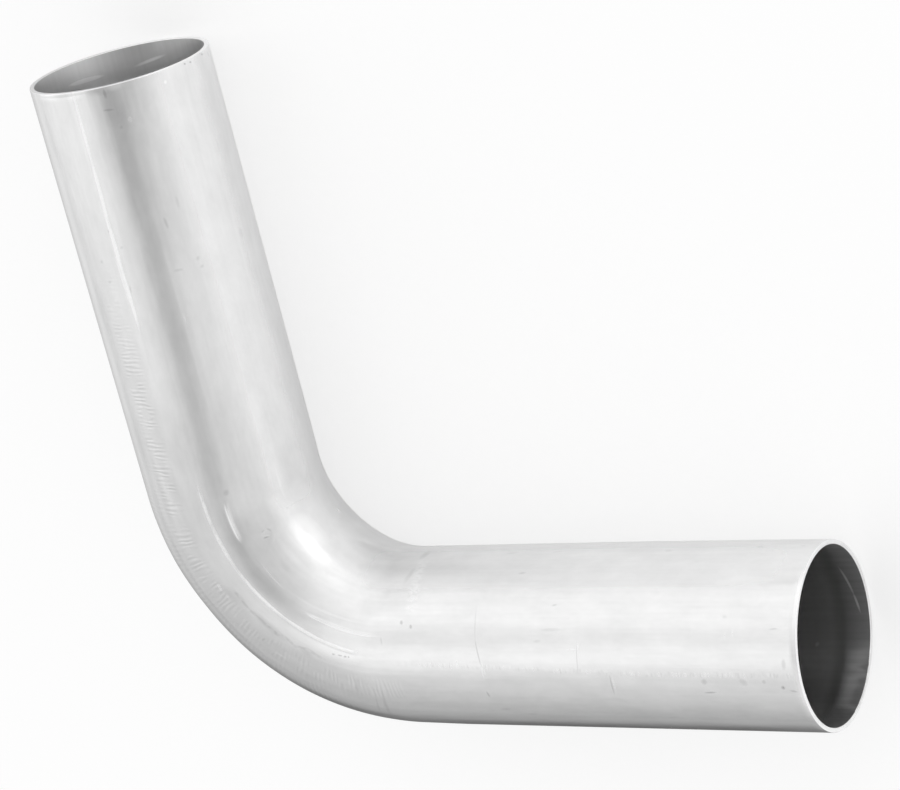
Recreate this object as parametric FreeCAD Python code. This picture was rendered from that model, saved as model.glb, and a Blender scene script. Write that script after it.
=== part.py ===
import FreeCAD, Part
import math
import os

from FreeCAD import Vector

# An air intake tube: one length of round aluminium tube, bent once and cut square at both ends.
# It lies on its side. One leg runs along X and the other along Y, and Z is up from the surface
# that it rests on. The origin is on that surface, under the middle of the tube's outline.
# Lengths are in millimetres and angles in degrees.

# The tube
outer_diameter = 63.5
wall = 1.65
bend_radius = 65.0
bend_angle = 90.0
x_leg_length = 156.5
y_leg_length = 153.6
rim_chamfer = 0.3

# Two fine ridges that the joints of the bending dies leave along the top of the bend. Each lies
# at an angle round the section, counted from the outside of the bend, and runs from a start at
# an angle along the bend to the bend's end. The legs are plain, so that hose slides over them.
ridge_height = 0.2
ridge_width = 0.9
outer_ridge_around = 104.0
outer_ridge_start = 10.5
inner_ridge_around = 116.0
inner_ridge_start = 3.0

node_name = "intake_tube"
outer_radius = outer_diameter / 2
along_x = Vector(1, 0, 0)
up = Vector(0, 0, 1)
bend_start = Vector(0, 0, 0)
bend_centre = Vector(0, bend_radius, 0)


def carried(shape, angle):
    """A copy of a shape, carried along the bend from its start until it has turned by angle."""
    copy = shape.copy()
    copy.rotate(bend_centre, up, -angle)
    return copy


def tube_section():
    """The ring of metal in the plane where the leg along X meets the bend."""
    outside = Part.Wire(Part.makeCircle(outer_radius, bend_start, along_x))
    bore = Part.Wire(Part.makeCircle(outer_radius - wall, bend_start, along_x))
    return Part.Face([outside, bore], "Part::FaceMakerBullseye")


def leg(length):
    """A straight leg along X from the start of the bend, with its open rim chamfered."""
    tube = tube_section().extrude(along_x * length)
    rims = [edge for edge in tube.Edges if edge.BoundBox.XMin > length - rim_chamfer]
    return tube.makeChamfer(rim_chamfer, rims)


def x_leg():
    """The leg along X."""
    return leg(x_leg_length)


def y_leg():
    """The leg along Y, turned about and carried to the end of the bend."""
    turned = leg(y_leg_length)
    turned.rotate(bend_start, up, 180)
    return carried(turned, bend_angle)


def bend():
    """The bend between the legs, with the same section all the way."""
    return tube_section().revolve(bend_centre, up, -bend_angle)


def ridge(around, start_angle):
    """One ridge: a thin curved bar, sunk in the wall until only its height and width stand out."""
    bar_radius = (ridge_width ** 2 / 4 + ridge_height ** 2) / (2 * ridge_height)
    reach = outer_radius + ridge_height - bar_radius
    outward = reach * math.cos(math.radians(around))
    upward = reach * math.sin(math.radians(around))
    centre = Vector(0, -outward, upward)
    disc = Part.Face(Part.Wire(Part.makeCircle(bar_radius, centre, along_x)))
    return carried(disc, start_angle).revolve(bend_centre, up, start_angle - bend_angle)


def ridges():
    """Both ridges on top of the bend."""
    return [
        ridge(outer_ridge_around, outer_ridge_start),
        ridge(inner_ridge_around, inner_ridge_start),
    ]


def intake_tube():
    """The whole tube, set down with its lowest line at Z 0 and its outline centred."""
    tube = bend().fuse([x_leg(), y_leg()] + ridges()).removeSplitter()
    box = tube.optimalBoundingBox(False, False)
    tube.translate(Vector(-box.Center.x, -box.Center.y, -box.ZMin))
    return tube.Solids[0]


os.makedirs("parts", exist_ok=True)
intake_tube().exportStep("parts/" + node_name + ".step")
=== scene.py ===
import math

import bpy
import numpy as np
from mathutils import Matrix, Vector


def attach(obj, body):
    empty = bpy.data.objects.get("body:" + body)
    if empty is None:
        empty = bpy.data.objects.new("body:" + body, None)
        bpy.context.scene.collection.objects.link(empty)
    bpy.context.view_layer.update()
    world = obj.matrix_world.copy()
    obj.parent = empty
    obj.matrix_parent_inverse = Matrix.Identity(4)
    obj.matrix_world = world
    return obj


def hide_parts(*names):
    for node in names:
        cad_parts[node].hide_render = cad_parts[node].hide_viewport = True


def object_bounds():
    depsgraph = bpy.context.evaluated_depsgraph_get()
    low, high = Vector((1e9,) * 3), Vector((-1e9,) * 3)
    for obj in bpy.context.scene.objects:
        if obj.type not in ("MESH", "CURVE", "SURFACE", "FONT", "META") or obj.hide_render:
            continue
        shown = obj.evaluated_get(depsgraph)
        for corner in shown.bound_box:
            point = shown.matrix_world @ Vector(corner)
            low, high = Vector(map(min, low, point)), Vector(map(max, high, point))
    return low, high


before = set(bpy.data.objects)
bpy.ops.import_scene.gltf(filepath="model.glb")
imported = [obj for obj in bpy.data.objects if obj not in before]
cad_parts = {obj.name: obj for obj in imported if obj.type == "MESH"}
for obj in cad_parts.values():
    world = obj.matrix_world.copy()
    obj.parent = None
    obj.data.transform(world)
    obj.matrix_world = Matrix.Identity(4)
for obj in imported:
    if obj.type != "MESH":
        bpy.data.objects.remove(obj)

# The bent aluminium intake tube. The mesh follows the straightened tube: s is the length along
# the centreline in mm, from the rim of the leg along X (0) to the rim of the leg along Y, and the
# angle round the section is counted from the outside of the bend (0) over the top (90).
MM = 0.001
cad_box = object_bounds()

# Sizes of the tube, in mm, as in part.py
outer_radius = 63.5 / 2
wall = 1.65
bend_radius = 65.0
x_leg_length = 156.5
y_leg_length = 153.6
rim_chamfer = 0.3
bend_length = bend_radius * math.pi / 2
bend_end = x_leg_length + bend_length
full_length = bend_end + y_leg_length
arc_per_degree = outer_radius * math.pi / 180
top_angle = 90.0

# The chamfers on the rims are rounded: how far their middle lies from both faces, in mm
chamfer_bulge = 0.09

# The middle of the bend stands one leg back from each rim.
x_rim = cad_box[1].x / MM
y_rim = cad_box[1].y / MM
bend_centre = (x_rim - x_leg_length, y_rim - y_leg_length)

# Fine ridges that the bending dies leave: angle round at the ends and at the middle, start and
# end along s, then the widths of the flank towards the outside of the bend and of the other one.
# The inner ridge is in two parts, with a gap between them. All stand out by the same height and
# fade out over the same length.
ridges = [
    (103.2, 104.9, 166.4, 265.9, 1.6, 0.35),
    (115.2, 116.4, 159.9, 195.5, 0.8, 0.7),
    (117.4, 117.2, 238.0, 260.2, 0.8, 1.2),
]
ridge_rise = 0.2
ridge_fade = 5.0
inner_gap = (190, 240)

# How far the bend is drawn in, in mm, at places along s: on its inside and on its outside
drawn_in_inside = [
    (70, 0.0), (130, 0.45), (155, 0.6), (185, 1.05), (215, 0.7), (240, 0.5), (262, 0.0),
]
drawn_in_outside = [(140, 0.0), (165, 0.4), (190, 0.1), (207, 0.1), (225, 0.4), (240, 0.0)]

# The inner edge of the rim of the leg along X is broken raggedly over part of its round: how far
# at most, in mm, the angles over which that starts and ends, the share of it on the rim's face,
# and the waves in it, each (share, count in a full turn, phase)
lip_most = 0.7
lip_starts = (296, 318)
lip_ends = (349, 354)
lip_on_face = 0.6
lip_middle = 0.5
lip_waves = [(0.2, 41, 0), (0.2, 67, 1), (0.1, 113, 0)]

# Columns of the mesh, as (angle, step up to the next one): fine where the ridges lie. Within
# reach of a ridge, in degrees, they follow it as it drifts, fully past a share of the way there.
outer_column = 104.0
inner_column = 116.0
ridge_reach = 5.5
ridge_hold = 0.45
column_stops = [
    (-90, 3), (18, 1.4), (99, 0.5), (103.4, 0.11), (104.7, 0.5), (108, 1.0), (112, 0.5),
    (115.4, 0.11), (116.7, 0.5), (120, 1.4), (217, 3), (270, 1),
]

# Rows of the mesh, as (s, step up to the next one)
outer_row_stops = [(rim_chamfer, 2.6), (150, 1.2), (275, 2.6), (full_length - rim_chamfer, 1)]
inner_row_stops = [
    (rim_chamfer, 9), (x_leg_length, 3), (bend_end, 9), (full_length - rim_chamfer, 1),
]

# A mark or patch is an oval round a line: how far it reaches past the line's middle, as a share
# of the line's length and width, and to its sides, as a share of its width
mark_reach = 0.6
mark_side = 0.75


# The mesh

def graded(stops):
    """Steps between stops, where each stop is (value, step up to the next stop)."""
    values = []
    for (start, step), (end, _) in zip(stops, stops[1:]):
        count = max(1, round((end - start) / step))
        values.extend(start + (end - start) * k / count for k in range(count))
    return np.array(values + [stops[-1][0]])


def smooth(low, high, value):
    """0 below low, 1 above high, and a smooth rise between them."""
    t = np.clip((value - low) / (high - low), 0, 1)
    return t * t * (3 - 2 * t)


def on_tube(s, angle, radius):
    """Points of the bent tube for straightened-tube coordinates, in mm."""
    turned = np.clip((s - x_leg_length) / bend_radius, 0, math.pi / 2)
    before = np.maximum(x_leg_length - s, 0)
    after = np.maximum(s - bend_end, 0)
    out_x, out_y = -np.sin(turned), -np.cos(turned)
    reach = bend_radius + radius * np.cos(angle)
    x = bend_centre[0] + out_x * reach + before
    y = bend_centre[1] + out_y * reach + after
    z = outer_radius + radius * np.sin(angle)
    return np.stack([x, y, z], -1)


def ridge_angle(s, ridge):
    """The angle round at which a ridge lies, which drifts a little between its ends and middle."""
    at_ends, at_middle, start, end = ridge[:4]
    middle = (start + end) / 2
    bow = 1 - np.clip((s - middle) / (end - middle), -1, 1) ** 2
    return at_ends + (at_middle - at_ends) * bow


def ridge_height(s, degrees):
    """How far the die ridges stand out of the round section, in mm."""
    total = np.zeros(np.broadcast(s, degrees).shape)
    for ridge in ridges:
        start, end, outer_flank, inner_flank = ridge[2:]
        across = (degrees - ridge_angle(s, ridge)) * arc_per_degree
        flanks = smooth(-outer_flank, 0, across) * (1 - smooth(0, inner_flank, across))
        along = smooth(start, start + ridge_fade, s) * (1 - smooth(end - ridge_fade, end, s))
        total = np.maximum(total, ridge_rise * flanks * along)
    return total


def lip_depth(degrees):
    """How much further the inner edge of the rim of the leg along X is broken, in mm."""
    turned = degrees % 360
    turn = np.radians(turned)
    ragged = lip_middle
    for share, count, phase in lip_waves:
        ragged = ragged + share * np.sin(count * turn + phase)
    return lip_most * ragged * smooth(*lip_starts, turned) * (1 - smooth(*lip_ends, turned))


def drawn_in(s, degrees):
    """How far the skin lies inside the round section, in mm."""
    outward = np.cos(np.radians(degrees))
    inside = np.interp(s, *zip(*drawn_in_inside)) * np.maximum(-outward, 0)
    outside = np.interp(s, *zip(*drawn_in_outside)) * np.maximum(outward, 0)
    return inside + outside


# Soft grey and pale patches on the skin, each between two places (s in mm, angle round in
# degrees), with a width in mm and how much darker (less than 0) or paler the metal is there.
# Some are tone that differs from place to place, and some are painted light and shade: the
# pale one at 215 to 232 mm by 156 to 160 degrees is a painted highlight inside the bend, the
# grey one at 160 to 193 mm by 176 degrees is painted shade beside it, and the grey one at 402
# to 409 mm by 112 to 118 degrees is painted reflection that deepens the mirrored dark band.
patches_with_painted_light = [
    # grey
    ((411, 131), (401, 132), 6, -0.065), ((409, 112), (402, 118), 9, -0.065),
    ((187, 91), (191, 92), 2, -0.09), ((198, 92), (213, 93), 2.5, -0.11),
    ((160, 177), (193, 176), 7, -0.10), ((182, 181), (195, 179), 3, -0.06),
    ((184, 116.5), (196, 113), 3.5, -0.055), ((217, 94), (225, 89), 3.5, -0.055),
    ((195, 148), (222, 145), 5, -0.06), ((147, 140), (168, 133.5), 7, -0.06),
    ((112, 99), (120, 101), 5, -0.045), ((290, 111.5), (252, 110.5), 3, -0.045),
    ((292, 144.5), (245, 142.5), 5.5, -0.045), ((98, 139), (118, 139), 3.5, -0.045),
    ((398, 132), (388, 132), 4, -0.045), ((329, 98), (323, 99), 5, -0.045),
    ((124, 101), (146, 97), 3.5, -0.035), ((276, 72), (250, 74), 3, -0.06),
    ((235.5, 137), (232, 133), 1.6, -0.055),
    # pale
    ((215, 160), (232, 156), 8, 0.115), ((245, 158), (290, 156), 7, 0.05),
    ((168, 100), (196, 100), 3.5, 0.105), ((253, 122), (238, 123), 6, 0.07),
    ((60, 88), (67, 88), 3.5, 0.06), ((230, 139), (207, 138), 2.2, 0.06),
    ((73, 88), (85, 91), 4, 0.045), ((168, 157), (178, 153), 6, 0.045),
    ((291, 92), (287, 91), 5, 0.045), ((10, 151), (28, 150), 3.3, 0.055),
    ((183, 141), (193, 143), 4, 0.045), ((253, 167), (264, 155), 7, 0.04),
    ((34, 87), (58, 88), 4.5, 0.04), ((264, 94), (279, 85), 5, 0.045),
    ((8, 125), (56, 125), 3.3, 0.035),
]


def patch_tone(s, degrees):
    """How much the patches, some of them painted light and shade, change the metal's tone on the
    skin.
    """
    place = np.stack(np.broadcast_arrays(s, degrees * arc_per_degree), -1)
    total = np.zeros(place.shape[:2])
    for start, end, width, change in patches_with_painted_light:
        start, end = np.array((start, end)) * (1, arc_per_degree)
        run = np.linalg.norm(end - start)
        along = (end - start) / run
        across = np.array((-along[1], along[0]))
        off = place - (start + end) / 2
        reach = off @ along / ((run + width) * mark_reach)
        aside = off @ across / (width * mark_side)
        total += change * np.maximum(1 - reach ** 2 - aside ** 2, 0)
    return total


def bent_columns(s, columns):
    """The angle of each column at each s: near a ridge the columns follow it as it drifts."""
    outer, inner_first, inner_second = ridges
    second = smooth(*inner_gap, s)
    inner_angle = (1 - second) * ridge_angle(s, inner_first) + second * ridge_angle(s, inner_second)
    bent = columns
    for column, angle in ((outer_column, ridge_angle(s, outer)), (inner_column, inner_angle)):
        near = np.clip(1 - np.abs(columns - column) / ridge_reach, 0, 1)
        bent = bent + (angle - column) * smooth(0, ridge_hold, near)
    return bent


def tube_profile():
    """The wall cut along the tube, as (s, depth): along the outside, and back along the bore."""
    far, bulge, inner_face = full_length, chamfer_bulge, rim_chamfer - wall
    profile = [(s, 0.0) for s in graded(outer_row_stops)]
    profile += [(far - bulge, -bulge), (far, -rim_chamfer), (far, inner_face)]
    profile += [(far - bulge, bulge - wall)]
    profile += [(s, -wall) for s in graded(inner_row_stops)[::-1]]
    profile += [(bulge, bulge - wall), (0.0, inner_face), (0.0, -rim_chamfer), (bulge, -bulge)]
    return np.array(profile)


def store(mesh, name, kind, field, values):
    """Keep values on the mesh's points as an attribute."""
    attribute = mesh.attributes.new(name, kind, "POINT")
    attribute.data.foreach_set(field, values.reshape(-1))


def tube_mesh():
    """The skin of the whole tube, outside and bore, with what its material needs."""
    profile = tube_profile()
    s, depth = profile[:, :1], profile[:, 1:]
    columns = graded(column_stops)
    degrees = bent_columns(s, columns[None, :-1])
    lip = lip_depth(degrees)
    inner_edge = np.isclose(depth, rim_chamfer - wall) & (s < 1)
    inner_mouth = np.isclose(depth, chamfer_bulge - wall) & (s < 1)
    lip_s = s + np.where(inner_mouth, lip, 0)
    depth = depth + np.where(inner_edge, lip_on_face * lip, 0)
    rise = np.where(depth == 0, ridge_height(s, degrees), 0) - drawn_in(s, degrees)
    points = on_tube(lip_s, np.radians(degrees), outer_radius + depth + rise) * MM
    rows, around = points.shape[:2]
    index = np.arange(rows * around).reshape(rows, around)
    next_row = np.roll(index, -1, 0)
    corners = np.stack([index, np.roll(index, -1, 1), np.roll(next_row, -1, 1), next_row], -1)
    faces = corners.reshape(-1, 4)
    mesh = bpy.data.meshes.new("intake_tube_skin")
    mesh.from_pydata(points.reshape(-1, 3).tolist(), [], faces.tolist())
    mesh.update()

    # The map holds s and the arc from the top line, both in metres. Its seam is at the bottom.
    across = (bent_columns(s, columns[None, :]) - top_angle) * arc_per_degree
    along = np.broadcast_to(s, across.shape)
    flat = np.stack([along, across], -1) * MM
    below = np.roll(flat, -1, 0)
    corner_map = np.stack([flat[:, :-1], flat[:, 1:], below[:, 1:], below[:, :-1]], 2)
    layer = mesh.uv_layers.new(name="straightened")
    layer.data.foreach_set("uv", corner_map.reshape(-1))

    # The straightened tube itself, in metres, for patterns that have no seam
    turn, radius = np.radians(degrees), outer_radius + depth
    straight = np.stack([
        np.broadcast_to(s, radius.shape), radius * np.cos(turn), radius * np.sin(turn),
    ], -1) * MM
    store(mesh, "straight", "FLOAT_VECTOR", "vector", straight)
    store(mesh, "bore", "FLOAT", "value", (depth < -wall / 2).astype(float))
    store(mesh, "patches", "FLOAT", "value", patch_tone(s, degrees))
    mesh.shade_smooth()
    return mesh


# Shader building

class Nodes:
    """Short calls that add nodes to one tree."""

    def __init__(self, tree):
        self.tree = tree
        tree.nodes.clear()

    def add(self, kind, **settings):
        node = self.tree.nodes.new(kind)
        for name, value in settings.items():
            setattr(node, name, value)
        return node

    def put(self, socket, value):
        if isinstance(value, bpy.types.NodeSocket):
            self.tree.links.new(value, socket)
        elif value is not None:
            socket.default_value = value

    def math(self, operation, a, b=None, c=None):
        node = self.add("ShaderNodeMath", operation=operation)
        for socket, value in zip(node.inputs, (a, b, c)):
            self.put(socket, value)
        return node.outputs[0]

    def vector(self, operation, a, b=None):
        node = self.add("ShaderNodeVectorMath", operation=operation)
        self.put(node.inputs[0], a)
        self.put(node.inputs[1], b)
        return node.outputs["Value" if operation in ("DOT_PRODUCT", "LENGTH") else "Vector"]

    def remap(self, value, low, high, to_low=0.0, to_high=1.0):
        """A smooth rise from low to high, or a fall where high is the smaller of the two."""
        node = self.add("ShaderNodeMapRange", interpolation_type="SMOOTHSTEP")
        for socket, v in zip(node.inputs, (value, low, high, to_low, to_high)):
            self.put(socket, v)
        return node.outputs[0]

    def between(self, value, zone):
        """1 within a zone, fading out to 0 at both of its ends."""
        starts, full_from, full_to, ends = zone
        return self.times(self.remap(value, starts, full_from), self.remap(value, ends, full_to))

    def times(self, first, *others):
        """The product of two or more values."""
        for other in others:
            first = self.math("MULTIPLY", first, other)
        return first

    def plus(self, total, patterns, shares):
        """The total plus a share of each named pattern."""
        for name, share in shares.items():
            total = self.math("MULTIPLY_ADD", patterns[name], share, total)
        return total

    def strongest(self, total, patterns, shares):
        """The total, or a share of a named pattern where that is more."""
        for name, share in shares.items():
            total = self.math("MAXIMUM", total, self.math("MULTIPLY", patterns[name], share))
        return total

    def noise(self, vector, detail, roughness):
        node = self.add("ShaderNodeTexNoise")
        self.put(node.inputs["Vector"], vector)
        self.put(node.inputs["Scale"], 1.0)
        self.put(node.inputs["Detail"], detail)
        self.put(node.inputs["Roughness"], roughness)
        return node.outputs["Fac"]


def direction(azimuth, elevation):
    """The unit vector towards an azimuth and elevation in degrees."""
    a, e = math.radians(azimuth), math.radians(elevation)
    return Vector((math.cos(e) * math.cos(a), math.cos(e) * math.sin(a), math.sin(e)))


# The light round the tube: a plain level that is a little higher overhead, soft bright patches,
# and soft dark gaps where nothing lights the room. Azimuth, elevation and width are in degrees,
# then come the strength and whether the patch has a crisp edge.
light_level = 0.842
overhead_change = 0.094
light_patches = [
    (43, 48, 33, -0.86, False),
    (59, 36, 36, 0.82, False),
    (69, 84, 9, -0.33, False),
    (184, 61, 12, 0.22, False),
    (40, 1, 14, 0.34, False),
    (49, 4, 7, 0.30, False),
    (118, 4, 18, 0.09, False),
    (-12, 3, 10, 0.08, False),
    (-14, -12, 25, 0.16, False),
    (-188, 25, 21, 0.61, False),
    (-113, 0, 17, -0.29, False),
    (-36, 71, 8, -0.24, True),
    (-153, 22, 21, -0.36, False),
    (163, 40, 13, -0.32, True),
    (-14, 58, 6, -0.13, True),
    (-158, 60, 13, -0.08, False),
    (-85, 64, 6, -0.22, False),
]


def make_world():
    """The light patches, with plain white where the camera sees the world itself."""
    world = bpy.data.worlds.new("studio")
    world.use_nodes = True
    bpy.context.scene.world = world
    n = Nodes(world.node_tree)
    facing = n.add("ShaderNodeTexCoord").outputs["Generated"]
    height = n.vector("DOT_PRODUCT", facing, (0, 0, 1))
    level = n.math("MULTIPLY_ADD", height, overhead_change, light_level)
    for azimuth, elevation, width, strength, crisp in light_patches:
        sharpness = 1 / math.radians(width) ** 2
        towards = n.vector("DOT_PRODUCT", facing, direction(azimuth, elevation))
        power = n.math("MULTIPLY_ADD", towards, sharpness, -sharpness)
        if crisp:
            power = n.times(power, n.math("MULTIPLY", power, -1))
        lobe = n.math("EXPONENT", power)
        level = n.math("MULTIPLY_ADD", lobe, strength, level)
    background = n.add("ShaderNodeBackground")
    seen = n.add("ShaderNodeLightPath").outputs["Is Camera Ray"]
    mix = n.add("ShaderNodeMixShader")
    white = n.add("ShaderNodeBackground")
    for plain in (background, white):
        plain.inputs["Color"].default_value = (1, 1, 1, 1)
    n.put(background.inputs["Strength"], level)
    n.put(mix.inputs[0], seen)
    n.put(mix.inputs[1], background.outputs[0])
    n.put(mix.inputs[2], white.outputs[0])
    out = n.add("ShaderNodeOutputWorld")
    n.put(out.inputs["Surface"], mix.outputs[0])


# The floor is white paper, lit so brightly that its shadow is faint: its colour, and its glow
# for the camera and in the metal, which mirrors it
paper_colour = 0.95
paper_glow = 0.14
seen_paper_colour = 0.35
seen_paper_glow = 0.68
paper_half_width = 6.0

# Painted shade on the paper that only the metal's reflection shows: the metal mirrors the paper
# darker towards one side, as if the paper ran out of the light there: a soft wedge from a point
# by the tube, in a direction along the floor, and a strip beside the leg along X. Places are in
# metres, and darkness is a share of the light.
shade_from, shade_full = -0.10, -0.13
plain_darkness = 0.07
wedge_start = (0.074, -0.056, 0.0)
wedge_azimuth = -115.0
wedge_side, wedge_middle = 0.26, 1.0
wedge_near, wedge_far = 0.7, 3.0
wedge_darkness = 0.48
wedge_far_share = 0.85
strip_y = -0.19
strip_fade = 0.085
strip_start_x, strip_full_x = -0.31, -0.11
strip_darkness = 0.35
light_by_rim_x, shade_by_rim_x = 0.127, 0.112


def mirrored_painted_shade(n):
    """How much darker the metal mirrors the floor at a place on it: painted shade, only in
    reflections.
    """
    place = n.add("ShaderNodeNewGeometry").outputs["Position"]
    off = n.vector("SUBTRACT", place, wedge_start)
    towards = n.vector("DOT_PRODUCT", n.vector("NORMALIZE", off), direction(wedge_azimuth, 0))
    wedge = n.remap(towards, wedge_side, wedge_middle)
    split = n.add("ShaderNodeSeparateXYZ")
    n.put(split.inputs[0], place)
    x, y = split.outputs[0], split.outputs[1]
    past_x, past_y = n.remap(x, shade_from, shade_full), n.remap(y, shade_from, shade_full)
    far = n.remap(
        n.vector("LENGTH", off), wedge_near, wedge_far,
        wedge_darkness, wedge_darkness * wedge_far_share)
    outside_strip = n.math("DIVIDE", n.math("SUBTRACT", y, strip_y), strip_fade)
    strip = n.math("EXPONENT", n.math("MINIMUM", outside_strip, 0.0))
    strip = n.times(strip, n.remap(x, strip_start_x, strip_full_x, 0.0, strip_darkness))
    darkness = n.math("ADD", n.times(wedge, far), strip)
    darkness = n.times(darkness, n.math("MAXIMUM", past_x, past_y))
    darkness = n.times(darkness, n.remap(x, light_by_rim_x, shade_by_rim_x))
    return n.math("MULTIPLY_ADD", past_x, plain_darkness, darkness)


def make_floor():
    """A large sheet of paper under the tube."""
    mesh = bpy.data.meshes.new("floor")
    half = paper_half_width
    corners = [(-half, -half, 0), (half, -half, 0), (half, half, 0), (-half, half, 0)]
    mesh.from_pydata(corners, [], [(0, 1, 2, 3)])
    floor = bpy.data.objects.new("floor", mesh)
    bpy.context.scene.collection.objects.link(floor)
    material = bpy.data.materials.new("floor_paper")
    material.use_nodes = True
    n = Nodes(material.node_tree)
    path = n.add("ShaderNodeLightPath")
    seen, mirrored = path.outputs["Is Camera Ray"], path.outputs["Is Glossy Ray"]
    paper = n.add("ShaderNodeBsdfDiffuse")
    grey = n.add("ShaderNodeCombineColor")
    for channel in grey.inputs:
        change = seen_paper_colour - paper_colour
        n.put(channel, n.math("MULTIPLY_ADD", seen, change, paper_colour))
    n.put(paper.inputs["Color"], grey.outputs[0])
    glow = n.add("ShaderNodeEmission")
    mirrored_glow = n.math("MULTIPLY", mirrored, paper_glow)
    n.put(glow.inputs["Strength"], n.math("MULTIPLY_ADD", seen, seen_paper_glow, mirrored_glow))
    lit = n.add("ShaderNodeAddShader")
    n.put(lit.inputs[0], paper.outputs[0])
    n.put(lit.inputs[1], glow.outputs[0])
    unlit = n.add("ShaderNodeBsdfDiffuse")
    unlit.inputs["Color"].default_value = (0, 0, 0, 1)
    mix = n.add("ShaderNodeMixShader")
    # The painted shade mixes the paper towards black for glossy rays only; the camera never sees it
    n.put(mix.inputs[0], n.times(mirrored_painted_shade(n), mirrored))
    n.put(mix.inputs[1], lit.outputs[0])
    n.put(mix.inputs[2], unlit.outputs[0])
    out = n.add("ShaderNodeOutputMaterial")
    n.put(out.inputs["Surface"], mix.outputs[0])
    mesh.materials.append(material)


# The finish. Marks lie on the skin as lines between two places, each (s in mm, angle round in
# degrees), with a width in mm and a strength. A line between two near places is a spot.
dark_marks = [
    # handling marks on the leg along X, from its rim
    ((6.6, 85.5), (6.4, 85.3), 1.1, 0.30), ((4.1, 83.3), (2.2, 82.8), 0.7, 0.15),
    ((4.7, 102.5), (4.9, 98.0), 1.2, 0.12), ((8.9, 120.8), (6.5, 121.1), 0.5, 0.10),
    ((12.9, 89.2), (12.7, 89.0), 1.2, 0.12), ((20.7, 89.6), (19.6, 87.8), 1.8, 0.10),
    ((34.3, 88.7), (34.1, 88.5), 1.8, 0.14), ((34.9, 80.9), (31.3, 81.2), 0.6, 0.22),
    ((21.2, 183.4), (20.6, 183.0), 1.2, 0.10), ((6.2, 184.4), (5.2, 184.0), 0.8, 0.08),
    ((54.3, 179.5), (53.0, 179.0), 1.4, 0.07), ((68.5, 91.5), (68.7, 79.2), 0.5, 0.16),
    ((25.6, 128.2), (24.8, 128.0), 1.0, 0.07),
    ((80.2, 92.0), (79.5, 111.0), 0.4, 0.10),
    ((92.4, 119.8), (86.2, 119.9), 0.9, 0.08), ((89.4, 134.8), (88.0, 135.4), 0.5, 0.14),
    ((95.4, 112.8), (93.6, 113.0), 0.9, 0.07), ((105.7, 158.0), (103.8, 158.4), 0.8, 0.12),
    ((117.3, 97.0), (118.7, 113.0), 0.5, 0.14), ((118.7, 113.0), (119.0, 134.0), 0.4, 0.07),
    ((117.9, 78.4), (117.6, 74.8), 0.7, 0.16), ((115.4, 179.0), (112.0, 179.9), 0.8, 0.07),
    ((97.7, 179.4), (94.3, 181.1), 0.8, 0.06), ((115.3, 63.2), (112.4, 63.3), 0.8, 0.09),
    ((106.1, 58.0), (103.3, 58.2), 0.8, 0.08), ((53.0, 57.5), (49.1, 58.4), 0.8, 0.08),
    ((148.6, 124.5), (148.4, 123.4), 1.0, 0.22), ((144.7, 122.0), (144.5, 120.8), 0.9, 0.22),
    ((150.6, 152.0), (149.2, 163.0), 1.6, 0.08), ((149.4, 176.0), (149.0, 183.0), 2.4, 0.10),
    # the bend
    ((156.8, 114.4), (156.4, 109.8), 0.6, 0.10), ((178.6, 97.8), (177.8, 98.0), 0.6, 0.22),
    ((176.2, 98.4), (174.6, 98.7), 0.5, 0.25), ((173.6, 98.6), (172.8, 98.9), 0.6, 0.28),
    ((171.9, 99.2), (171.6, 99.0), 0.6, 0.22), ((204.9, 81.2), (205.3, 79.0), 0.7, 0.12),
    ((160.4, 75.0), (162.4, 51.0), 1.0, 0.10), ((163.4, 72.0), (165.2, 52.0), 0.6, 0.07),
    ((168.8, 84.0), (169.4, 74.0), 0.9, 0.09), ((262.9, 120.4), (262.2, 119.6), 1.6, 0.12),
    ((219.2, 130.7), (214.0, 130.6), 1.6, 0.06),
    # a ring of dark marks round a dent: painted shade of its sides, over the dent in the relief
    ((238.6, 136.2), (236.8, 137.4), 0.7, 0.10), ((234.6, 133.8), (235.2, 131.6), 0.8, 0.20),
    ((238.8, 133.8), (238.4, 132.2), 0.6, 0.10),
    # the leg along Y
    ((344.6, 131.0), (344.8, 126.4), 0.9, 0.08),
    ((347.0, 143.0), (346.4, 142.2), 1.1, 0.09), ((343.6, 144.2), (343.4, 143.0), 1.0, 0.08),
    ((352.0, 79.4), (351.8, 78.4), 0.9, 0.08), ((344.5, 81.4), (344.3, 80.4), 0.9, 0.09),
    ((356.6, 98.2), (356.4, 97.0), 0.9, 0.07), ((349.9, 178.9), (347.0, 179.2), 1.6, 0.06),
    ((363.6, 128.8), (360.3, 129.5), 0.9, 0.12), ((369.3, 139.5), (365.8, 139.5), 0.9, 0.07),
    ((404.3, 111.5), (404.0, 116.5), 0.7, 0.16), ((397.7, 119.2), (397.3, 118.6), 1.0, 0.07),
    ((410.8, 114.5), (408.6, 114.7), 0.9, 0.18),
    ((411.3, 103.0), (411.2, 64.0), 0.9, 0.12),
    ((411.2, 169.4), (411.0, 170.4), 0.5, 0.30), ((410.9, 174.4), (410.7, 175.6), 0.5, 0.30),
    ((411.2, 188.8), (411.0, 190.4), 0.6, 0.25), ((410.4, 199.0), (408.8, 200.6), 0.6, 0.20),
    ((362.9, 91.8), (362.5, 91.5), 0.6, 0.14), ((342.6, 95.7), (339.9, 95.2), 0.4, 0.12),
]
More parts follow.
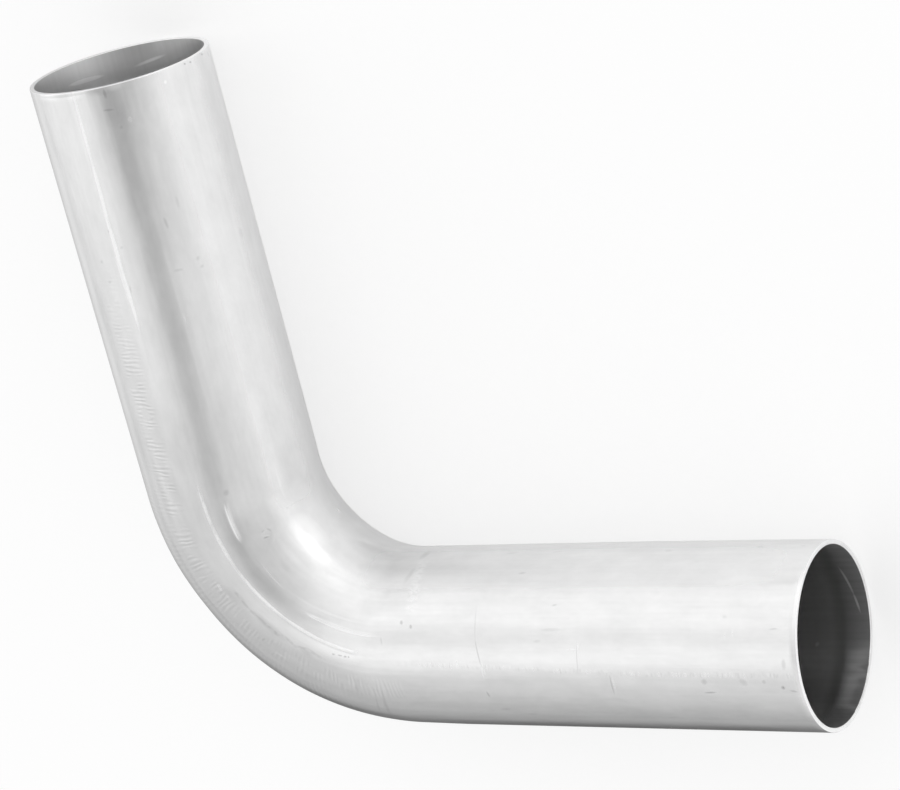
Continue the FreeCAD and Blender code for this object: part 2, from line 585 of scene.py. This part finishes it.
bright_marks = [
    # a scored line along the leg along Y
    ((411.6, 94.4), (388.0, 93.9), 0.9, 0.9), ((388.0, 93.9), (366.0, 93.3), 1.1, 1.1),
    ((372.0, 92.4), (352.0, 92.9), 0.7, 0.8), ((366.0, 93.3), (347.0, 93.1), 1.2, 1.2),
    ((350.0, 93.2), (328.0, 93.6), 1.1, 1.2), ((356.0, 91.6), (336.0, 92.0), 0.9, 0.5),
    # the burnished crests of the die ridges
    ((167.0, 103.2), (184.0, 104.0), 1.0, 0.9), ((182.0, 103.9), (202.0, 104.8), 1.0, 1.0),
    ((200.0, 104.8), (232.0, 105.0), 1.0, 1.0), ((230.0, 105.0), (252.0, 104.4), 1.1, 1.0),
    ((248.0, 104.5), (266.0, 103.2), 1.0, 0.9), ((160.0, 115.1), (195.0, 115.5), 0.8, 0.5),
    ((240.0, 117.2), (259.0, 117.2), 0.8, 0.6),
    # rubbed places
    ((408.0, 152.8), (407.8, 152.4), 1.0, 0.8), ((399.9, 125.3), (398.8, 125.0), 1.2, 0.3),
    ((79.0, 111.5), (79.1, 108.6), 0.5, 0.6), ((83.4, 108.2), (79.5, 108.2), 0.35, 0.4),
    ((117.0, 99.0), (117.4, 89.4), 0.5, 0.4), ((116.2, 97.0), (116.5, 90.4), 0.4, 0.3),
    ((126.8, 101.2), (126.9, 96.2), 0.5, 0.3), ((67.6, 91.5), (67.8, 80.0), 0.6, 0.3),
    ((24.9, 118.6), (24.9, 114.5), 0.4, 0.3), ((22.2, 120.3), (22.2, 115.5), 0.4, 0.3),
    ((226.0, 120.4), (210.7, 119.6), 0.5, 0.35), ((206.0, 121.0), (170.0, 122.6), 0.9, 0.22),
    ((265.1, 155.2), (250.0, 155.8), 0.8, 0.35), ((222.0, 192.0), (219.0, 192.0), 0.8, 0.5),
    ((329.4, 124.6), (326.1, 124.6), 0.5, 0.3), ((200.0, 77.0), (196.0, 77.4), 1.0, 0.2),
    ((228.6, 85.2), (227.0, 84.6), 1.3, 0.4), ((224.0, 86.0), (223.0, 85.6), 1.0, 0.25),
]
# scratches and a spot in the bore, in sight through the mouths
bore_scratches = [
    ((7.0, 248.4), (4.7, 269.5), 0.7, 0.6), ((4.7, -90.5), (3.4, -78.8), 0.7, 0.6),
    ((19.8, -56.6), (19.4, -57.4), 1.2, 0.6), ((405.2, -16.0), (404.6, -38.0), 1.2, 1.0),
    ((404.8, -64.0), (406.6, -84.0), 1.0, 0.7),
]


def mark_group():
    """A node group that adds one mark to the ones before it: a soft, long spot."""
    group = bpy.data.node_groups.new("mark", "ShaderNodeTree")
    for name, kind, side in (
        ("Place", "Vector", "INPUT"), ("Middle", "Vector", "INPUT"), ("Along", "Vector", "INPUT"),
        ("Across", "Vector", "INPUT"), ("Strength", "Float", "INPUT"), ("Fall", "Float", "INPUT"),
        ("Before", "Float", "INPUT"), ("Marks", "Float", "OUTPUT"),
    ):
        group.interface.new_socket(name, in_out=side, socket_type="NodeSocket" + kind)
    n = Nodes(group)
    given = n.add("NodeGroupInput").outputs
    off = n.vector("SUBTRACT", given["Place"], given["Middle"])
    along = n.vector("DOT_PRODUCT", off, given["Along"])
    across = n.vector("DOT_PRODUCT", off, given["Across"])
    away = n.math("MULTIPLY_ADD", along, along, n.times(across, across))
    mark = n.math("MULTIPLY_ADD", away, given["Fall"], given["Strength"])
    n.put(n.add("NodeGroupOutput").inputs["Marks"], n.math("MAXIMUM", mark, given["Before"]))
    return group


def on_skin(place):
    """A place on the skin as it lies in the map, in mm."""
    s, degrees = place
    return Vector((s, (degrees - top_angle) * arc_per_degree))


def marks_on(n, group, place, marks):
    """The strongest of several marks at a place on the skin."""
    total = 0.0
    for start, end, width, strength in marks:
        start, end = on_skin(start), on_skin(end)
        run = end - start
        along = run.normalized() / ((run.length + width) * mark_reach)
        across = run.orthogonal().normalized() / (width * mark_side)
        peak = mark_peak * strength
        mark = n.add("ShaderNodeGroup")
        mark.node_tree = group
        for name, value in (
            ("Place", place), ("Middle", ((start + end) / 2).to_3d()), ("Along", along.to_3d()),
            ("Across", across.to_3d()), ("Strength", peak), ("Fall", -peak), ("Before", total),
        ):
            n.put(mark.inputs[name], value)
        total = mark.outputs["Marks"]
    return total


# Noises along the straightened tube: how fine they are along and across it, per mm, then their
# detail and roughness. Their mean is the same.
noise_mean = 0.5
noises = {
    "streaks": (0.012, 0.5, 2.0, 0.5),
    "clouds": (0.07, 0.13, 3.0, 0.65),
    "specks": (0.5, 0.9, 2.0, 0.6),
    "waves": (0.035, 0.09, 2.0, 0.55),
    "drawing": (0.01, 2.2, 1.0, 0.5),
    "dashes": (0.06, 1.1, 1.0, 0.5),
    "wander": (0.12, 0.0, 2.0, 0.5),
    "jitter": (0.35, 0.12, 1.0, 0.5),
    "gaps": (0.25, 0.2, 1.0, 0.5),
    "ticks": (1.6, 0.2, 1.0, 0.5),
    "breaks": (0.5, 1.5, 2.0, 0.5),
}

# Where the patterns lie. A zone is (starts, full from, full to, ends) and a rise is (starts,
# full), along s in mm or round the section in degrees.
rib_length, rib_arc = (158, 190, 262, 290), (38, 47, 60, 74)
tick_length, tick_arc = (140, 170, 300, 360), (68, 74, 82, 90)
dull_length, dull_arc = (155, 190, 278, 312), (76, 88, 99, 114)
crisp_length, crisp_arc = (285, 305, 340, 375), (122, 124, 134, 150)
deep_rise, deep_arc = (345, 395), (110, 115, 127, 134)
side_arc = (142, 154, 174, 190)
squeezed_x_length, squeezed_y_rise = (-10, 40, 165, 185), (230, 250)
lower_rise, lower_arc_rise = (300, 350), (184, 198)
lip_highlight_rise, lip_highlight_arc = (1.5, 0.8), (62, 80, 145, 165)

# Chatter of the bending die: a rib every so many mm, pushed about by so many radians, and the
# rise in the noise that leaves gaps
rib_spacing = 1.6
rib_jitter = 7.0
rib_gaps = (0.38, 0.58)

# The edge along the leg along X where the die held it: its angle, how far it turns for each mm
# past a place, how far it wanders, and what lies beside it, in degrees past it
edge_angle, edge_turn, edge_turns_past, edge_wander = 93.0, 0.055, 60.0, 3.0
edge_leg_rise = (158, 140)
step_rise, step_fall = (-0.5, 0.5), (12, 2)
edge_tick_zone = (-2.2, -0.6, 0.6, 2.6)
tick_bright, tick_dark = (0.54, 0.66), (0.44, 0.34)

# A smudge along the top of the bend: its angle, how far it wanders and how wide it is, in degrees
smudge_angle, smudge_wander, smudge_rise = 92.3, -9.0, (1.6, 0.4)
smudge_length, smudge_specks = (178, 186, 222, 228), (0.4, 0.6)

# A rubbed band round the tube where the bend begins: where it lies along s, in mm, and how much
# further on for each degree, how far it wanders and how wide it is
band_place, band_slant, band_wander, band_rise = 137.0, 0.06, 2.0, (3.2, 0.8)
band_arc, band_specks = (126, 136, 165, 176), (0.38, 0.62)

# How far marks are broken up: a rise in the noise, and the share that is left of them
break_rise, least_broken = (0.3, 0.5), 0.5
mark_peak = 1.2

# A dent in the bend: its place and its rise, in mm from there
dent_place, dent_rise = (236.8, 134.5), (2.3, 0.6)

# The bore. Its patterns lie along s, in mm, and as far round from the top line, in degrees.
bore_rise = (0.15, 0.4)
beyond_mouth_rise = (7, 15)
upper_mouth_rise, upper_mouth_arc = (13, 7), (130, 105)
upper_throat_length, upper_throat_arc = (5, 12, 20, 40), (110, 85)
y_leg_rise, y_mouth_rise = (300, 400), (400, 412)
y_lower_rise, y_lower_arc = (380, 411), (115, 160)
rough_mouth_rise = (12, 5)
cut_rise = (0.3, 0.1)

# How much each pattern adds to the metal's tone: under the marks, and over them
middle_tone = 0.805
noise_tones = {"streaks": 0.06, "clouds": 0.15, "specks": 0.03, "dashes": 0.015, "drawing": 0.015}
die_tones = {"step": 0.02, "chatter": 0.035, "dull": -0.11}
# Of these, paler is painted light, crisp and deep are painted reflection, and some patches are
# painted highlight and shade
top_tones = {
    "paler": 0.055, "crisp": 0.05, "deep": -0.07, "bright": 0.2, "patches": 1.0, "cut": 0.16,
}
dark_shares = {"smudge": 0.12, "edge_darks": 0.06}
# The lip's share here is a painted highlight
bright_shares = {"band": 0.35, "edge_ticks": 0.3, "lip": 0.5}

# The same for the bore's tone, for roughness, and for relief in mm
# Over the bore's darker finish, its tones by place are painted shade near the X mouth and painted
# light towards the Y one
mouth_tone = 0.19
bore_tones = {
    "streaks": 0.1, "beyond_mouth": 0.37, "upper_mouth": -0.05, "upper_throat": 0.22,
    "y_leg": 0.34, "y_mouth": -0.34, "y_lower": -0.18, "scratches": 0.35,
}
plain_roughness = 0.16
roughness_shares = {
    "clouds": 0.06, "squeezed_x": 0.24, "squeezed_y": 0.12, "bright": 0.3, "dark": 0.3,
    "bore": 0.18, "cut": 0.15, "rough_mouth": 0.3,
}
relief_shares = {"waves": 0.16, "chatter": 0.02, "dent": -0.09}


# In what follows n is the material's nodes, and p holds its patterns by name.

def stored(n, name, output):
    """What the mesh holds under a name at each of its points."""
    return n.add("ShaderNodeAttribute", attribute_name=name).outputs[output]


def noise_patterns(n):
    """The noises along the tube, by name."""
    straight = n.vector("MULTIPLY", stored(n, "straight", "Vector"), (1 / MM, 1 / MM, 1 / MM))
    patterns = {}
    for name, (along, across, detail, roughness) in noises.items():
        stretched = n.vector("MULTIPLY", straight, (along, across, across))
        patterns[name] = n.noise(stretched, detail, roughness)
    patterns["wander"] = n.math("SUBTRACT", patterns["wander"], noise_mean)
    return patterns


def add_die_patterns(n, s, degrees, p):
    """Chatter, and the edge that the die held the leg along X by, with small ticks across it."""
    pushed = n.math("MULTIPLY", p["jitter"], rib_jitter)
    ribs = n.math("SINE", n.math("MULTIPLY_ADD", s, 2 * math.pi / rib_spacing, pushed))
    rib_zone = n.times(n.between(degrees, rib_arc), n.between(s, rib_length))
    tick_zone = n.times(n.between(degrees, tick_arc), n.between(s, tick_length))
    zone = n.times(n.math("MAXIMUM", rib_zone, tick_zone), n.remap(p["gaps"], *rib_gaps))
    p["chatter"] = n.times(ribs, zone)

    past = n.math("MAXIMUM", n.math("SUBTRACT", s, edge_turns_past), 0.0)
    edge = n.math("MULTIPLY_ADD", past, edge_turn, edge_angle)
    edge = n.math("MULTIPLY_ADD", p["wander"], edge_wander, edge)
    past_edge = n.math("SUBTRACT", degrees, edge)
    on_leg = n.remap(s, *edge_leg_rise)
    step = n.times(n.remap(past_edge, *step_rise), on_leg)
    p["step"] = n.times(step, n.remap(past_edge, *step_fall))
    edge_zone = n.times(n.between(past_edge, edge_tick_zone), on_leg)
    p["edge_ticks"] = n.times(n.remap(p["ticks"], *tick_bright), edge_zone)
    p["edge_darks"] = n.times(n.remap(p["ticks"], *tick_dark), edge_zone)


def add_rubbed_patterns(n, s, degrees, p):
    """A smudge along the top of the bend, and a band round the tube where the bend begins."""
    along_smudge = n.math("MULTIPLY_ADD", p["wander"], smudge_wander, degrees)
    off = n.math("ABSOLUTE", n.math("SUBTRACT", along_smudge, smudge_angle))
    smudge = n.times(n.remap(off, *smudge_rise), n.between(s, smudge_length))
    p["smudge"] = n.times(smudge, n.remap(p["specks"], *smudge_specks))

    middle = n.math("MULTIPLY_ADD", degrees, band_slant, band_place)
    middle = n.math("MULTIPLY_ADD", p["wander"], band_wander, middle)
    off = n.math("ABSOLUTE", n.math("SUBTRACT", s, middle))
    band = n.times(n.remap(off, *band_rise), n.between(degrees, band_arc))
    p["band"] = n.times(band, n.remap(p["specks"], *band_specks))


def add_zones(n, s, degrees, p):
    """Parts of the skin with a tone or roughness of their own."""
    # The sides that the bend squeezed are duller. They, and the low inner side of the leg along Y,
    # are painted paler: painted light that lifts the shaded floor they mirror
    side = n.between(degrees, side_arc)
    p["squeezed_x"] = n.times(n.between(s, squeezed_x_length), side)
    p["squeezed_y"] = n.times(n.remap(s, *squeezed_y_rise), side)
    p["paler"] = n.math(
        "MULTIPLY_ADD", n.remap(s, *lower_rise), n.remap(degrees, *lower_arc_rise), side)

    # The top of the bend is greyer. The dark band that the leg along Y mirrors gets painted
    # reflection: a crisp edge, painted paler beside it, and painted darker towards the rim.
    p["dull"] = n.times(n.between(s, dull_length), n.between(degrees, dull_arc))
    p["crisp"] = n.times(n.between(degrees, crisp_arc), n.between(s, crisp_length))
    p["deep"] = n.times(n.between(degrees, deep_arc), n.remap(s, *deep_rise))

    # The X rim's outer edge is painted bright, a painted highlight, and the cut faces of both rims
    # are paler
    p["lip"] = n.times(n.remap(s, *lip_highlight_rise), n.between(degrees, lip_highlight_arc))
    half = full_length / 2
    from_middle = n.math("ABSOLUTE", n.math("SUBTRACT", s, half))
    p["cut"] = n.remap(from_middle, *(half - depth for depth in cut_rise))


def add_marks(n, place, p):
    """The single marks, with the patterns that darken and brighten the skin as they do."""
    group = mark_group()
    p["dark"] = n.strongest(marks_on(n, group, place, dark_marks), p, dark_shares)
    broken = n.remap(p["breaks"], *break_rise, least_broken, 1.0)
    bright = n.times(marks_on(n, group, place, bright_marks), broken)
    p["bright"] = n.strongest(bright, p, bright_shares)
    p["scratches"] = marks_on(n, group, place, bore_scratches)
    off_dent = n.vector("SUBTRACT", place, on_skin(dent_place).to_3d())
    p["dent"] = n.remap(n.vector("LENGTH", off_dent), *dent_rise)


def add_bore_patterns(n, s, degrees, p):
    """The bore's tone by place, painted shade and light: darkest inside the X mouth, and palest
    within the Y one.
    """
    from_top = n.math("ABSOLUTE", n.math("SUBTRACT", degrees, top_angle))
    p["beyond_mouth"] = n.remap(s, *beyond_mouth_rise)
    p["upper_mouth"] = n.times(
        n.remap(from_top, *upper_mouth_arc), n.remap(s, *upper_mouth_rise))
    p["upper_throat"] = n.times(
        n.remap(from_top, *upper_throat_arc), n.between(s, upper_throat_length))
    p["y_leg"] = n.remap(s, *y_leg_rise)
    p["y_mouth"] = n.remap(s, *y_mouth_rise)
    p["y_lower"] = n.times(n.remap(s, *y_lower_rise), n.remap(from_top, *y_lower_arc))
    p["bore"] = n.remap(stored(n, "bore", "Fac"), *bore_rise)
    p["painted"] = n.times(p["bore"], n.math("SUBTRACT", 1.0, p["cut"]))
    p["rough_mouth"] = n.times(p["painted"], n.remap(s, *rough_mouth_rise))


def metal_tone(n, p):
    """The tone of the metal, outside and in the bore."""
    plain_tone = middle_tone - noise_mean * sum(noise_tones.values())
    tone = n.plus(plain_tone, p, noise_tones)
    tone = n.plus(tone, p, die_tones)
    tone = n.times(tone, n.math("SUBTRACT", 1.0, p["dark"]))
    tone = n.plus(tone, p, top_tones)
    mix = n.add("ShaderNodeMix", data_type="FLOAT")
    inside = n.plus(mouth_tone, p, bore_tones)
    for socket, value in zip(mix.inputs, (p["painted"], None, tone, inside)):
        n.put(socket, value)
    return mix.outputs[0]


def aluminium():
    """Raw drawn aluminium: satin, with lines along it, the die's marks and light scuffs."""
    material = bpy.data.materials.new("raw_aluminium")
    material.use_nodes = True
    n = Nodes(material.node_tree)
    in_map = n.add("ShaderNodeUVMap", uv_map="straightened").outputs[0]
    place = n.vector("MULTIPLY", in_map, (1 / MM, 1 / MM, 0))
    split = n.add("ShaderNodeSeparateXYZ")
    n.put(split.inputs[0], place)
    s, arc = split.outputs[0], split.outputs[1]
    degrees = n.math("MULTIPLY_ADD", arc, 1 / arc_per_degree, top_angle)

    patterns = noise_patterns(n)
    patterns["patches"] = stored(n, "patches", "Fac")
    add_die_patterns(n, s, degrees, patterns)
    add_rubbed_patterns(n, s, degrees, patterns)
    add_zones(n, s, degrees, patterns)
    add_marks(n, place, patterns)
    add_bore_patterns(n, s, degrees, patterns)

    colour = n.add("ShaderNodeCombineColor")
    tone = metal_tone(n, patterns)
    for channel in colour.inputs:
        n.put(channel, tone)
    bump = n.add("ShaderNodeBump")
    bump.inputs["Strength"].default_value = 1.0
    bump.inputs["Distance"].default_value = MM
    n.put(bump.inputs["Height"], n.plus(0.0, patterns, relief_shares))
    shader = n.add("ShaderNodeBsdfPrincipled")
    shader.inputs["Metallic"].default_value = 1.0
    n.put(shader.inputs["Base Color"], colour.outputs[0])
    n.put(shader.inputs["Roughness"], n.plus(plain_roughness, patterns, roughness_shares))
    n.put(shader.inputs["Normal"], bump.outputs[0])
    out = n.add("ShaderNodeOutputMaterial")
    n.put(out.inputs["Surface"], shader.outputs[0])
    return material


def make_tube():
    """The dressed tube, in place of the CAD one."""
    mesh = tube_mesh()
    mesh.materials.append(aluminium())
    tube = bpy.data.objects.new("intake_tube_skin", mesh)
    bpy.context.scene.collection.objects.link(tube)
    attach(tube, "root")
    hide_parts("intake_tube")


# The photograph's camera, above the tube and turned on its axis: its place in metres, and the
# directions of its right, its top and its back
camera_lens = 114.28
sensor_width = 36.0
camera_place = Vector((0.503072, 0.306502, 0.807166))
camera_right = Vector((0.85724, -0.23107, -0.46016))
camera_up = Vector((0.03808, 0.91965, -0.39088))
camera_back = Vector((0.51351, 0.31755, 0.79716))
nearest_seen, farthest_seen = 0.05, 30.0


def make_camera():
    """The camera that frames the tube as the photograph does."""
    data = bpy.data.cameras.new("camera")
    data.lens = camera_lens
    data.sensor_width = sensor_width
    data.sensor_fit = "HORIZONTAL"
    data.clip_start = nearest_seen
    data.clip_end = farthest_seen
    camera = bpy.data.objects.new("camera", data)
    bpy.context.scene.collection.objects.link(camera)
    turn = Matrix((camera_right, camera_up, camera_back)).transposed()
    camera.matrix_world = Matrix.Translation(camera_place) @ turn.to_4x4()
    bpy.context.scene.camera = camera


make_world()
make_floor()
make_tube()
make_camera()
bpy.context.scene.view_settings.view_transform = "Standard"
